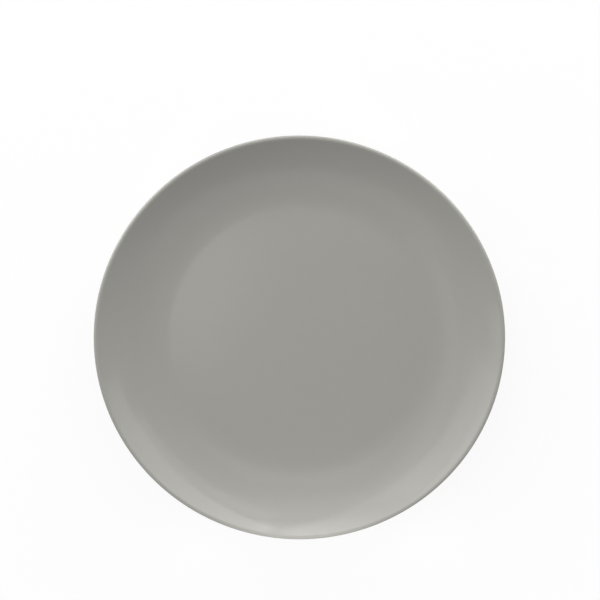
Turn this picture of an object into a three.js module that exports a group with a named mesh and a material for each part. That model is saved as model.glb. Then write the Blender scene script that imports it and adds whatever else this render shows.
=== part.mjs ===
// Melamine dinner plate of the coupe kind: a flat round well that runs into one curved wall and
// ends in a rounded lip. Two charges make the moulding: coloured compound is pressed into the body,
// then clear glaze is pressed over the eating face and cured onto it.
// Millimetres, +Z up. The origin is on the table, at the middle of the foot ring.

import * as THREE from 'three';

// Driving dimensions
const RIM_DIAMETER = 250;
const PLATE_HEIGHT = 21;
const WELL_DIAMETER = 157;
const BASE_THICKNESS = 3;
const WALL_THICKNESS = 3;
const LIP_EDGE_ROUND = 1.1;
const LIP_SHOULDER_ROUND = 2.6;
const GLAZE_THICKNESS = 0.3;
const FOOT_HEIGHT = 2.3;
const FOOT_WIDTH = 3;
const FOOT_DRAFT = THREE.MathUtils.degToRad(18);
const FOOT_EDGE_ROUND = 0.45;
const FOOT_ROOT_FILLET = 0.9;

// Clearances
const FOOT_INSET = 5.5;
const BOND_GAP = 0.01;

// Facets
const TURN_SEGMENTS = 72;
const WALL_STEPS = 10;
const LIP_EDGE_STEPS = 4;
const LIP_SHOULDER_STEPS = 3;
const LIP_UNDER_STEPS = 3;
const FOOT_STEPS = 3;

const MELAMINE_GREY = 0x9a9a95;
const UP = Math.PI / 2;

// Heights and radii that follow from the driving dimensions
const rimRadius = RIM_DIAMETER / 2;
const wellRadius = WELL_DIAMETER / 2;
const floorHeight = FOOT_HEIGHT + BASE_THICKNESS;

// The lip is level at its top. A soft shoulder comes up to it from the wall, and a tighter round turns
// it down to the outermost line.
const edgeCentre = new THREE.Vector2(rimRadius - LIP_EDGE_ROUND, PLATE_HEIGHT - LIP_EDGE_ROUND);
const shoulderCentre = new THREE.Vector2(edgeCentre.x, PLATE_HEIGHT - LIP_SHOULDER_ROUND);

// The inner wall is one arc. It leaves the well floor level and touches the shoulder from outside,
// so the distance between the two centres is the sum of the two radii.
const wallRun = shoulderCentre.x - wellRadius;
const wallRise = PLATE_HEIGHT - floorHeight;
const wallRadius = (wallRun ** 2 + wallRise ** 2) / (2 * wallRise) - LIP_SHOULDER_ROUND;
const wallCentre = new THREE.Vector2(wellRadius, floorHeight + wallRadius);
const wallSlope = Math.asin(wallRun / (wallRadius + LIP_SHOULDER_ROUND));

// The outer wall has the same centre. A round under the lip touches it from inside and stands upright
// at the outermost line.
const outerRadius = wallRadius + WALL_THICKNESS;
const overhang = rimRadius - wellRadius;
const edgeDrop = edgeCentre.y - wallCentre.y;
const underRadius = (outerRadius ** 2 - overhang ** 2 - edgeDrop ** 2) / (2 * (outerRadius - overhang));
const underCentre = new THREE.Vector2(rimRadius - underRadius, edgeCentre.y);
const outerSlope = Math.atan2(edgeDrop, overhang - underRadius);

// Points of an arc in the profile plane: x is the distance from the axis, y the height.
function arc(centre, radius, from, to, steps) {
  return Array.from({ length: steps + 1 }, (_, step) => {
    const angle = THREE.MathUtils.lerp(from, to, step / steps);
    return new THREE.Vector2(
      centre.x + radius * Math.cos(angle),
      centre.y + radius * Math.sin(angle),
    );
  });
}

// A corner between two straight runs, replaced by an arc that touches both of them.
function roundedCorner(before, corner, after, radius) {
  const toBefore = before.clone().sub(corner).normalize();
  const toAfter = after.clone().sub(corner).normalize();
  const half = Math.acos(toBefore.dot(toAfter)) / 2;
  const bisector = toBefore.clone().add(toAfter).normalize();
  const centre = corner.clone().addScaledVector(bisector, radius / Math.sin(half));
  const touch = corner.clone().addScaledVector(toBefore, radius / Math.tan(half)).sub(centre);
  const turn = Math.sign(toAfter.cross(toBefore)) * (Math.PI - 2 * half);
  const start = Math.atan2(touch.y, touch.x);
  return arc(centre, radius, start, start + turn, FOOT_STEPS);
}

// A profile that runs from the axis out along the underside and back to the axis along the top.
function revolve(profile) {
  const geometry = new THREE.LatheGeometry(profile, TURN_SEGMENTS);
  geometry.rotateX(UP);
  return geometry;
}

// The foot: a drafted ring below the base, rounded at its contact edges and filleted at its roots.
function footProfile() {
  const outerRootHeight = floorHeight - WALL_THICKNESS;
  const outerEdge = new THREE.Vector2(wellRadius - FOOT_INSET, 0);
  const innerEdge = new THREE.Vector2(outerEdge.x - FOOT_WIDTH, 0);
  const spread = Math.tan(FOOT_DRAFT);
  const outerRoot = new THREE.Vector2(outerEdge.x + outerRootHeight * spread, outerRootHeight);
  const innerRoot = new THREE.Vector2(innerEdge.x - FOOT_HEIGHT * spread, FOOT_HEIGHT);
  const baseMiddle = new THREE.Vector2(0, FOOT_HEIGHT);
  const wallStart = new THREE.Vector2(wellRadius, outerRootHeight);
  return [
    baseMiddle,
    ...roundedCorner(baseMiddle, innerRoot, innerEdge, FOOT_ROOT_FILLET),
    ...roundedCorner(innerRoot, innerEdge, outerEdge, FOOT_EDGE_ROUND),
    ...roundedCorner(innerEdge, outerEdge, outerRoot, FOOT_EDGE_ROUND),
    ...roundedCorner(outerEdge, outerRoot, wallStart, FOOT_ROOT_FILLET),
  ];
}

// The eating face at a given depth below the glaze, from the lip's outermost line in to the axis.
function eatingFace(depth, rise) {
  const edgeRadius = LIP_EDGE_ROUND - depth;
  const shoulderRadius = LIP_SHOULDER_ROUND - depth;
  const edge = arc(edgeCentre, edgeRadius, Math.asin(rise / edgeRadius), UP, LIP_EDGE_STEPS);
  const shoulder = arc(shoulderCentre, shoulderRadius, UP, UP + wallSlope, LIP_SHOULDER_STEPS);
  const wall = arc(wallCentre, wallRadius + depth, wallSlope - UP, -UP, WALL_STEPS);
  const middle = new THREE.Vector2(0, floorHeight - depth);
  return [...edge, ...shoulder.slice(1), ...wall.slice(1), middle];
}

// Body: coloured melamine compound. Its outer wall is concentric with the inner one, and a ledge at the
// lip's outermost line carries the edge of the glaze.
function plateBody() {
  const outerWall = arc(wallCentre, outerRadius, -UP, outerSlope, WALL_STEPS);
  const underLip = arc(underCentre, underRadius, outerSlope, 0, LIP_UNDER_STEPS);
  const profile = [
    ...footProfile(),
    ...outerWall,
    ...underLip.slice(1),
    ...eatingFace(GLAZE_THICKNESS + BOND_GAP, 0),
  ];
  const material = new THREE.MeshStandardMaterial({ color: MELAMINE_GREY, roughness: 0.45, metalness: 0 });
  const mesh = new THREE.Mesh(revolve(profile), material);
  mesh.name = 'plate_body';
  return mesh;
}

// Glaze: a thin clear melamine layer over the well, the wall and the top of the lip. It takes the colour
// of the body under it.
function glazeLayer() {
  const top = eatingFace(0, BOND_GAP);
  const bond = eatingFace(GLAZE_THICKNESS, BOND_GAP).reverse();
  const material = new THREE.MeshStandardMaterial({ color: MELAMINE_GREY, roughness: 0.2, metalness: 0 });
  const mesh = new THREE.Mesh(revolve([...bond, ...top]), material);
  mesh.name = 'glaze_layer';
  return mesh;
}

const plate = new THREE.Group();
plate.name = 'melamine_plate';
plate.add(plateBody(), glazeLayer());

export default plate;
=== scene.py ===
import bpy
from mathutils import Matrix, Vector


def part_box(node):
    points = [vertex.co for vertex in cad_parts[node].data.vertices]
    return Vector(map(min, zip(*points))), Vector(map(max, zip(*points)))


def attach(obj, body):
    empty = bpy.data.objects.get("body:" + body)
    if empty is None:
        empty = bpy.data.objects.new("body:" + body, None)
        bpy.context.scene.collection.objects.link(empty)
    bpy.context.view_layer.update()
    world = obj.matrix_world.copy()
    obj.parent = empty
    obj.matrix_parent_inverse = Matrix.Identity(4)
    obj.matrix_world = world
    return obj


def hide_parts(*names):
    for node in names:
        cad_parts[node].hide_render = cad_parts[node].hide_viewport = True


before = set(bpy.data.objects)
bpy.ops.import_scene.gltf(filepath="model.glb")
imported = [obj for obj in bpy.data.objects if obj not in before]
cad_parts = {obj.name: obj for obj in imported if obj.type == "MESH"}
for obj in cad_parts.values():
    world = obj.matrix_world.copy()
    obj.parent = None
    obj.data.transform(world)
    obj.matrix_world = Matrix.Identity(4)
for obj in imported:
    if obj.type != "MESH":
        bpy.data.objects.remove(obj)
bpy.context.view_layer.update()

import math

import bpy
from mathutils import Vector

# The body of the plate: grey melamine compound, pressed and cured in a closed steel mould.
# It is the base, the foot ring, the outer wall and the core of the lip. The mould leaves the
# underside satin. Out of the press, the foot ring is ground flat and the flash is sanded off the rim.
MM = 0.001
UP = math.pi / 2
RIM_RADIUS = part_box("plate_body")[1].x
PLATE_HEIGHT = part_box("glaze_layer")[1].z
GLAZE_THICKNESS = 0.3 * MM
BOND_GAP = 0.01 * MM
FLOOR_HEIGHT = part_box("glaze_layer")[0].z + GLAZE_THICKNESS
WELL_RADIUS = 78.5 * MM
WALL_THICKNESS = 3.0 * MM
LIP_EDGE_ROUND = 1.1 * MM
LIP_SHOULDER_ROUND = 2.6 * MM
RIM_SANDED = 0.04 * MM
FOOT_HEIGHT = 2.3 * MM
FOOT_RADIUS = 73.0 * MM
FOOT_WIDTH = 3.0 * MM
FOOT_DRAFT = math.radians(18)
FOOT_EDGE_ROUND = 0.45 * MM
FOOT_ROOT_FILLET = 0.9 * MM
INSERT_RADIUS = 32.0 * MM
INSERT_STEP = 0.12 * MM
INSERT_BEVEL = 0.06 * MM

TURN_STEPS = 288
WALL_STEPS = 56
LIP_STEPS = 16
SHOULDER_STEPS = 14
FOOT_STEPS = 8
FLAT_GUARD = 1.0 * MM
SAME_POINT = 1e-7
SHARP_ANGLE = math.radians(35)

edge_centre = Vector((RIM_RADIUS - LIP_EDGE_ROUND, PLATE_HEIGHT - LIP_EDGE_ROUND))
shoulder_centre = Vector((edge_centre.x, PLATE_HEIGHT - LIP_SHOULDER_ROUND))
wall_run = edge_centre.x - WELL_RADIUS
wall_rise = PLATE_HEIGHT - FLOOR_HEIGHT
wall_radius = (wall_run**2 + wall_rise**2) / (2 * wall_rise) - LIP_SHOULDER_ROUND
wall_centre = Vector((WELL_RADIUS, FLOOR_HEIGHT + wall_radius))
wall_slope = math.asin(wall_run / (wall_radius + LIP_SHOULDER_ROUND))
outer_radius = wall_radius + WALL_THICKNESS
overhang = RIM_RADIUS - WELL_RADIUS
edge_drop = edge_centre.y - wall_centre.y
under_radius = (outer_radius**2 - overhang**2 - edge_drop**2) / (2 * (outer_radius - overhang))
under_centre = Vector((RIM_RADIUS - under_radius, edge_centre.y))
outer_slope = math.atan2(edge_drop, overhang - under_radius)


def arc(centre, radius, start, end, steps):
    """Points of an arc in the outline's plane: distance from the axis, then height."""
    angles = [start + (end - start) * step / steps for step in range(steps + 1)]
    return [centre + radius * Vector((math.cos(angle), math.sin(angle))) for angle in angles]


def rounded(before, corner, after, radius):
    """A corner between two straight runs, replaced by an arc that touches both."""
    to_before = (before - corner).normalized()
    to_after = (after - corner).normalized()
    half = math.acos(to_before.dot(to_after)) / 2
    centre = corner + (to_before + to_after).normalized() * (radius / math.sin(half))
    touch = corner + to_before * (radius / math.tan(half)) - centre
    turn = math.copysign(math.pi - 2 * half, to_after.cross(to_before))
    start = math.atan2(touch.y, touch.x)
    return arc(centre, radius, start, start + turn, FOOT_STEPS)


def sanded(points):
    """The outline with its outermost part cut back to the band where the flash was sanded off."""
    return [Vector((min(point.x, RIM_RADIUS - RIM_SANDED), point.y)) for point in points]


def eating_face(depth, rise):
    """The eating face at a depth below the glaze, from the parting line in to the axis."""
    radius = LIP_EDGE_ROUND - depth
    edge = sanded(arc(edge_centre, radius, math.asin(rise / radius), UP, LIP_STEPS))
    shoulder = arc(shoulder_centre, LIP_SHOULDER_ROUND - depth, UP, UP + wall_slope, SHOULDER_STEPS)
    wall = arc(wall_centre, wall_radius + depth, wall_slope - UP, -UP, WALL_STEPS)
    level = FLOOR_HEIGHT - depth
    floor = [Vector((WELL_RADIUS - FLAT_GUARD, level)), Vector((0, level))]
    return edge + shoulder + wall + floor


def revolved(name, runs):
    """A closed solid turned about the plate's axis. Each run is a finish and a stretch of outline."""
    outline, finishes = [], []
    for finish, points in runs:
        for point in points:
            if not outline or (point - outline[-1]).length > SAME_POINT:
                outline.append(point)
                finishes.append(finish)
    vertices, rings = [], []
    for point in outline:
        around = range(TURN_STEPS) if point.x > SAME_POINT else range(1)
        rings.append(range(len(vertices), len(vertices) + len(around)))
        for turn in around:
            angle = 2 * math.pi * turn / TURN_STEPS
            vertices.append((point.x * math.cos(angle), point.x * math.sin(angle), point.y))
    materials = list(dict.fromkeys(finishes))
    faces, slots = [], []
    for lower, upper, finish in zip(rings, rings[1:], finishes[1:]):
        for turn in range(TURN_STEPS):
            after = (turn + 1) % TURN_STEPS
            face = [lower[turn % len(lower)], lower[after % len(lower)]]
            face += [upper[after % len(upper)], upper[turn % len(upper)]]
            faces.append(list(dict.fromkeys(face)))
            slots.append(materials.index(finish))
    mesh = bpy.data.meshes.new(name)
    mesh.from_pydata(vertices, [], faces)
    for material in materials:
        mesh.materials.append(material)
    mesh.polygons.foreach_set("material_index", slots)
    mesh.shade_smooth()
    mesh.set_sharp_from_angle(angle=SHARP_ANGLE)
    piece = bpy.data.objects.new(name, mesh)
    bpy.context.scene.collection.objects.link(piece)
    return piece


MELAMINE_GREY = (0.302, 0.2985, 0.2727)
GROUND_GREY = (0.33, 0.33, 0.31)
MELAMINE_IOR = 1.6
MOTTLE_SCALE = 260
MOTTLE_SHADE = 0.006
MOTTLE_HAZE = 0.015


def melamine(name, colour, roughness, grain, grain_depth):
    """Cured melamine: even colour with a faint mottle, and the skin that the mould gives it."""
    material = bpy.data.materials.new(name)
    material.use_nodes = True
    nodes, links = material.node_tree.nodes, material.node_tree.links
    shader = nodes["Principled BSDF"]
    shader.inputs["IOR"].default_value = MELAMINE_IOR
    place = nodes.new("ShaderNodeTexCoord")

    mottle = nodes.new("ShaderNodeTexNoise")
    mottle.inputs["Scale"].default_value = MOTTLE_SCALE
    mottle.inputs["Detail"].default_value = 3
    shades = nodes.new("ShaderNodeValToRGB")
    shades.color_ramp.elements[0].position = 0.3
    shades.color_ramp.elements[0].color = (*[(1 - MOTTLE_SHADE) * tone for tone in colour], 1)
    shades.color_ramp.elements[1].position = 0.7
    shades.color_ramp.elements[1].color = (*[(1 + MOTTLE_SHADE) * tone for tone in colour], 1)
    links.new(place.outputs["Object"], mottle.inputs["Vector"])
    links.new(mottle.outputs["Fac"], shades.inputs["Fac"])
    links.new(shades.outputs["Color"], shader.inputs["Base Color"])

    haze = nodes.new("ShaderNodeMapRange")
    haze.inputs["To Min"].default_value = roughness - MOTTLE_HAZE
    haze.inputs["To Max"].default_value = roughness + MOTTLE_HAZE
    links.new(mottle.outputs["Fac"], haze.inputs["Value"])
    links.new(haze.outputs["Result"], shader.inputs["Roughness"])

    skin = nodes.new("ShaderNodeTexNoise")
    skin.inputs["Scale"].default_value = 1 / grain
    skin.inputs["Detail"].default_value = 2
    relief = nodes.new("ShaderNodeBump")
    relief.inputs["Distance"].default_value = grain_depth
    links.new(place.outputs["Object"], skin.inputs["Vector"])
    links.new(skin.outputs["Fac"], relief.inputs["Height"])
    links.new(relief.outputs["Normal"], shader.inputs["Normal"])
    return material


underside_finish = melamine(
    "satin_melamine", MELAMINE_GREY, roughness=0.42, grain=0.5 * MM, grain_depth=0.004 * MM
)
ground_finish = melamine(
    "ground_melamine", GROUND_GREY, roughness=0.6, grain=0.25 * MM, grain_depth=0.006 * MM
)
nodes, links = ground_finish.node_tree.nodes, ground_finish.node_tree.links
scratches = nodes.new("ShaderNodeTexWave")
scratches.wave_type = "RINGS"
scratches.rings_direction = "Z"
scratches.inputs["Scale"].default_value = 600
scratches.inputs["Distortion"].default_value = 6
furrows = nodes.new("ShaderNodeBump")
furrows.inputs["Distance"].default_value = 0.01 * MM
links.new(nodes["Texture Coordinate"].outputs["Object"], scratches.inputs["Vector"])
links.new(scratches.outputs["Fac"], furrows.inputs["Height"])
links.new(nodes["Bump"].outputs["Normal"], furrows.inputs["Normal"])
links.new(furrows.outputs["Normal"], nodes["Principled BSDF"].inputs["Normal"])

foot_spread = FOOT_HEIGHT * math.tan(FOOT_DRAFT)
foot_outer_edge = Vector((FOOT_RADIUS, 0))
foot_inner_edge = Vector((FOOT_RADIUS - FOOT_WIDTH, 0))
foot_outer_root = Vector((FOOT_RADIUS + foot_spread, FOOT_HEIGHT))
foot_inner_root = Vector((foot_inner_edge.x - foot_spread, FOOT_HEIGHT))
base_middle = Vector((0, FOOT_HEIGHT))
wall_foot = Vector((WELL_RADIUS, FLOOR_HEIGHT - WALL_THICKNESS))
inner_root = rounded(base_middle, foot_inner_root, foot_inner_edge, FOOT_ROOT_FILLET)
inner_edge = rounded(foot_inner_root, foot_inner_edge, foot_outer_edge, FOOT_EDGE_ROUND)
outer_edge = rounded(foot_inner_edge, foot_outer_edge, foot_outer_root, FOOT_EDGE_ROUND)
outer_root = rounded(foot_outer_edge, foot_outer_root, wall_foot, FOOT_ROOT_FILLET)
insert_middle = Vector((0, FOOT_HEIGHT + INSERT_STEP))
insert_edge = Vector((INSERT_RADIUS, FOOT_HEIGHT + INSERT_STEP))
base_inner = Vector((INSERT_RADIUS + INSERT_BEVEL, FOOT_HEIGHT))
base_outer = inner_root[0] - Vector((FLAT_GUARD, 0))
under_lip = sanded(arc(under_centre, under_radius, outer_slope, 0, LIP_STEPS))
plate_body = revolved("moulded_body", [
    (underside_finish, [insert_middle, insert_edge, base_inner, base_outer]),
    (underside_finish, inner_root),
    (underside_finish, inner_edge),
    (ground_finish, outer_edge[:1]),
    (underside_finish, outer_edge),
    (underside_finish, outer_root),
    (underside_finish, arc(wall_centre, outer_radius, -UP, outer_slope, WALL_STEPS)),
    (underside_finish, [point for point in under_lip if point.x < under_lip[-1].x]),
    (ground_finish, under_lip[-1:]),
    (underside_finish, eating_face(GLAZE_THICKNESS + BOND_GAP, 0)),
])
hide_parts("plate_body")
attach(plate_body, "root")

# The glaze: clear melamine resin, dusted over the hot moulding and pressed once more. It covers the
# well, the wall and the top of the lip, where it ends at the parting line of the mould. It takes its
# grey from the body under it and gives the eating face its soft gloss.
glazed_finish = melamine(
    "glazed_melamine", MELAMINE_GREY, roughness=0.12, grain=2.5 * MM, grain_depth=0.002 * MM
)
top_face = eating_face(0, BOND_GAP)
rim_band = [point for point in top_face if point.x == top_face[0].x]
glaze_layer = revolved("clear_glaze", [
    (glazed_finish, eating_face(GLAZE_THICKNESS, BOND_GAP)[::-1]),
    (glazed_finish, rim_band[:1]),
    (ground_finish, rim_band),
    (glazed_finish, top_face[len(rim_band):]),
])
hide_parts("glaze_layer")
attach(glaze_layer, "root")

# The table: a plain matt white sheet that the plate stands on, wide enough to reach the horizon.
# To the camera, and in reflections, it is paper white further out, and near the plate it keeps a part
# of the plate's shadow.
TABLE_REACH = 12.0
TABLE_WHITE = 0.92
TABLE_GLOW = 0.9
SHADOW_FULL = 0.15
SHADOW_GONE = 0.5
table_mesh = bpy.data.meshes.new("table_sheet")
corners = [(-1, -1, 0), (1, -1, 0), (1, 1, 0), (-1, 1, 0)]
table_mesh.from_pydata([TABLE_REACH * Vector(corner) for corner in corners], [], [(0, 1, 2, 3)])
table = bpy.data.objects.new("table_sheet", table_mesh)
bpy.context.scene.collection.objects.link(table)


def seen_or_mirrored(tree):
    """1 for rays from the camera, from a reflection or through glass, and 0 for scattered light."""
    rays = tree.nodes.new("ShaderNodeLightPath")
    mirrored = tree.nodes.new("ShaderNodeMath")
    mirrored.operation = "MAXIMUM"
    tree.links.new(rays.outputs["Is Glossy Ray"], mirrored.inputs[0])
    tree.links.new(rays.outputs["Is Transmission Ray"], mirrored.inputs[1])
    seen = tree.nodes.new("ShaderNodeMath")
    seen.operation = "MAXIMUM"
    tree.links.new(rays.outputs["Is Camera Ray"], seen.inputs[0])
    tree.links.new(mirrored.outputs["Value"], seen.inputs[1])
    return seen.outputs["Value"]


table_finish = bpy.data.materials.new("white_sheet")
table_finish.use_nodes = True
nodes, links = table_finish.node_tree.nodes, table_finish.node_tree.links
sheet = nodes["Principled BSDF"]
sheet.inputs["Base Color"].default_value = (TABLE_WHITE, TABLE_WHITE, TABLE_WHITE, 1)
sheet.inputs["Roughness"].default_value = 0.9
sheet.inputs["Specular IOR Level"].default_value = 0.1
paper_white = nodes.new("ShaderNodeEmission")
paper_white.inputs["Strength"].default_value = 1
spot = nodes.new("ShaderNodeNewGeometry")
reach = nodes.new("ShaderNodeVectorMath")
reach.operation = "LENGTH"
links.new(spot.outputs["Position"], reach.inputs[0])
fade = nodes.new("ShaderNodeMapRange")
fade.inputs["From Min"].default_value = SHADOW_FULL
fade.inputs["From Max"].default_value = SHADOW_GONE
fade.inputs["To Min"].default_value = TABLE_GLOW
fade.inputs["To Max"].default_value = 1
links.new(reach.outputs["Value"], fade.inputs["Value"])
glow = nodes.new("ShaderNodeMath")
glow.operation = "MULTIPLY"
links.new(seen_or_mirrored(table_finish.node_tree), glow.inputs[0])
links.new(fade.outputs["Result"], glow.inputs[1])
blend = nodes.new("ShaderNodeMixShader")
links.new(glow.outputs["Value"], blend.inputs["Fac"])
links.new(sheet.outputs["BSDF"], blend.inputs[1])
links.new(paper_white.outputs["Emission"], blend.inputs[2])
links.new(blend.outputs["Shader"], nodes["Material Output"].inputs["Surface"])
table_mesh.materials.append(table_finish)

# The light: a white room, brighter on its left and darker in front, and soft boxes on all sides.
# The boxes that the near wall mirrors fade to one end. Those low over the table, and the small cards
# over the lip, only fill, and show in no reflection.
ROOM_LIGHT = 0.404
LEFT_LIGHT = 0.375
FRONT_SHADE = 0.25
world = bpy.data.worlds.new("white_room")
bpy.context.scene.world = world
world.use_nodes = True
nodes, links = world.node_tree.nodes, world.node_tree.links
way = nodes.new("ShaderNodeTexCoord")
side = nodes.new("ShaderNodeSeparateXYZ")
links.new(way.outputs["Generated"], side.inputs["Vector"])
level = nodes.new("ShaderNodeMath")
falls = (("X", ROOM_LIGHT + LEFT_LIGHT, ROOM_LIGHT), ("Y", -FRONT_SHADE, 0))
for term, (axis, at_side, at_middle) in enumerate(falls):
    fall = nodes.new("ShaderNodeMapRange")
    fall.inputs["From Min"].default_value = -1
    fall.inputs["From Max"].default_value = 0
    fall.inputs["To Min"].default_value = at_side
    fall.inputs["To Max"].default_value = at_middle
    links.new(side.outputs[axis], fall.inputs["Value"])
    links.new(fall.outputs["Result"], level.inputs[term])
room = nodes["Background"]
room.inputs["Color"].default_value = (1, 1, 1, 1)
links.new(level.outputs["Value"], room.inputs["Strength"])
white = nodes.new("ShaderNodeBackground")
white.inputs["Color"].default_value = (1, 1, 1, 1)
white.inputs["Strength"].default_value = 1
blend = nodes.new("ShaderNodeMixShader")
links.new(seen_or_mirrored(world.node_tree), blend.inputs["Fac"])
links.new(room.outputs["Background"], blend.inputs[1])
links.new(white.outputs["Background"], blend.inputs[2])
links.new(blend.outputs["Shader"], nodes["World Output"].inputs["Surface"])

BOX_DISTANCE = 1.5
BACK_LEFT_SLIDE = 0.23
OVERHEAD_DISTANCE = 1.2
GLEAM_DISTANCE = 1.222
GLEAM_SPOT = Vector((-0.07735, 0.03556, 0))
GLEAM_SPREAD = math.radians(8)
CARD_HEIGHT = 0.01
SIDE_CARD_DISTANCE = 0.137
NEAR_CARD_DISTANCE = 0.134
NEAR_CARD_BACK = Vector((0, -0.2, 1))


def softbox(name, bearing, elevation, width, height, power, distance=BOX_DISTANCE):
    """A soft box facing the plate. Bearing is anticlockwise from the right, as seen from above."""
    lamp = bpy.data.lights.new(name, "AREA")
    lamp.shape = "RECTANGLE"
    lamp.size = width
    lamp.size_y = height
    lamp.energy = power
    box = bpy.data.objects.new(name, lamp)
    turn, rise = math.radians(bearing), math.radians(elevation)
    aim = Vector((math.cos(turn) * math.cos(rise), math.sin(turn) * math.cos(rise), math.sin(rise)))
    box.location = distance * aim
    box.rotation_mode = "QUATERNION"
    box.rotation_quaternion = aim.to_track_quat("Z", "Y")
    box.visible_camera = False
    bpy.context.scene.collection.objects.link(box)
    return box


def fading(box, along, up):
    """Makes a soft box uneven. As seen from the plate, a positive along brightens its left end, and a
    positive up brightens its top.
    """
    lamp = box.data
    lamp.use_nodes = True
    nodes, links = lamp.node_tree.nodes, lamp.node_tree.links
    spot = nodes.new("ShaderNodeNewGeometry")
    ramp = nodes.new("ShaderNodeVectorMath")
    ramp.operation = "DOT_PRODUCT"
    ramp.inputs[1].default_value = (2 * along, 2 * up, 0)
    level = nodes.new("ShaderNodeMath")
    level.inputs[1].default_value = 1 - along - up
    links.new(spot.outputs["Parametric"], ramp.inputs[0])
    links.new(ramp.outputs["Value"], level.inputs[0])
    links.new(level.outputs["Value"], nodes["Emission"].inputs["Strength"])


back_left = softbox("back_left", 144, 41.6, 2.6, 0.86, 6.75)
back_left.location -= BACK_LEFT_SLIDE * (back_left.rotation_quaternion @ Vector((1, 0, 0)))
fading(back_left, -0.7, -0.25)
back_right = softbox("back_right", 38, 37, 1.9, 0.6, 4.75)
fading(back_right, 0.7, 0)
back_middle = softbox("back_middle", 97, 36, 0.9, 0.56, 1.05)
fading(back_middle, -0.5, -0.5)
back_low = softbox("back_low", 85, 18, 1.3, 0.35, 2.96)
back_strip = softbox("back_strip", 50, 8, 1.57, 0.315, 7.1)
softbox("back_top", 100, 60, 1.6, 0.42, 0.46)
softbox("back_right_high", 45, 54, 1.2, 0.28, 0.6)
left_low = softbox("left_low", 132, 19, 1.45, 0.4, 5.4)
left_side = softbox("left_side", 167, 21, 1.9, 0.84, 3.3)
fading(left_side, -0.2, -0.3)
left_high = softbox("left_high", 160, 54, 1.2, 0.8, 0.72)
fading(left_high, 0, -0.6)
softbox("left_top", 190, 71, 1.1, 0.36, 0.28)
softbox("overhead", 90, 90, 0.3, 0.24, 0.061, OVERHEAD_DISTANCE)
softbox("front_high", 270, 54, 1.6, 0.5, 0.52)
softbox("right_side", -10, 37, 1.6, 0.86, 0.4)
well_gleam = softbox("well_gleam", 225.9, 79.2, 0.18, 0.18, 0.00018, GLEAM_DISTANCE)
well_gleam.rotation_quaternion = (well_gleam.location - GLEAM_SPOT).to_track_quat("Z", "Y")
well_gleam.data.spread = GLEAM_SPREAD
left_card = softbox("left_card", 145, 11, 0.1, CARD_HEIGHT, 0.004, SIDE_CARD_DISTANCE)
right_card = softbox("right_card", 46, 11, 0.16, CARD_HEIGHT, 0.0062, SIDE_CARD_DISTANCE)
near_card = softbox("near_card", 274, 14, 0.18, CARD_HEIGHT, 0.0112, NEAR_CARD_DISTANCE)
near_card.rotation_quaternion = NEAR_CARD_BACK.to_track_quat("Z", "Y")
for filler in (back_low, back_strip, left_low, left_card, right_card, near_card):
    filler.visible_glossy = False

# The view: from nearly straight above, with a long lens, leaning a little from the far side.
# The frame is half as wide again as the plate, which lies a little below its middle.
VIEW_LEAN = math.radians(-10.04)
VIEW_DISTANCE = 1.2
FRAME_WIDTH = 0.36285
AIM_BEHIND = 0.02548
AIM_RIGHT = 0.00036
camera = bpy.data.cameras.new("view")
camera.sensor_width = 36
camera.lens = camera.sensor_width * VIEW_DISTANCE / FRAME_WIDTH
viewer = bpy.data.objects.new("view", camera)
viewer.rotation_euler = (VIEW_LEAN, 0, 0)
viewer.location = Vector((AIM_RIGHT, AIM_BEHIND, PLATE_HEIGHT))
viewer.location += VIEW_DISTANCE * Vector((0, -math.sin(VIEW_LEAN), math.cos(VIEW_LEAN)))
bpy.context.scene.collection.objects.link(viewer)
bpy.context.scene.camera = viewer
bpy.context.scene.view_settings.view_transform = "Standard"
